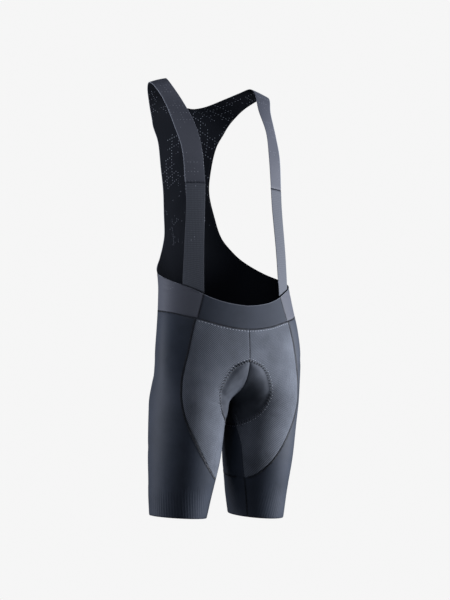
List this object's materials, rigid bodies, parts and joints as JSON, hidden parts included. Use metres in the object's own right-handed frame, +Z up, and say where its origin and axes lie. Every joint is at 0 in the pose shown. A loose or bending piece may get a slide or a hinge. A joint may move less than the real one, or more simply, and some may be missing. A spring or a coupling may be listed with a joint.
{
  "type": "cycling bib shorts",
  "caption": "Thigh-length stretch shorts with a stitched seat pad and a high back that divides over the shoulders into flat front straps; hollow and open, as worn.",
  "frame": {"origin": "midway between the two straps at the top of the shoulders, where the garment is held up", "axes": "+Z up, the wearer faces -Y, the wearer's left is +X"},
  "size_m": [0.3338, 0.2854, 0.9238],
  "materials": {
    "smooth_knit": "smooth matte warp knit",
    "front_knit": "pitted diagonal warp knit",
    "band_knit": "smooth matte warp knit",
    "perforated_mesh": "perforated knit, black on its inner face",
    "strap_elastic": "ribbed stretch tape",
    "pad_foam": "smooth moulded pad cover"
  },
  "bodies": {
    "root": {"back_bib": "perforated_mesh", "waistband_front": "band_knit", "front_strap_left": "strap_elastic", "front_strap_right": "strap_elastic", "front_panel_left": "front_knit", "front_panel_right": "front_knit", "side_panel_left": "smooth_knit", "side_panel_right": "smooth_knit", "seat_panel_left": "smooth_knit", "seat_panel_right": "smooth_knit", "seat_pad": "pad_foam"}
  },
  "joints": []
}
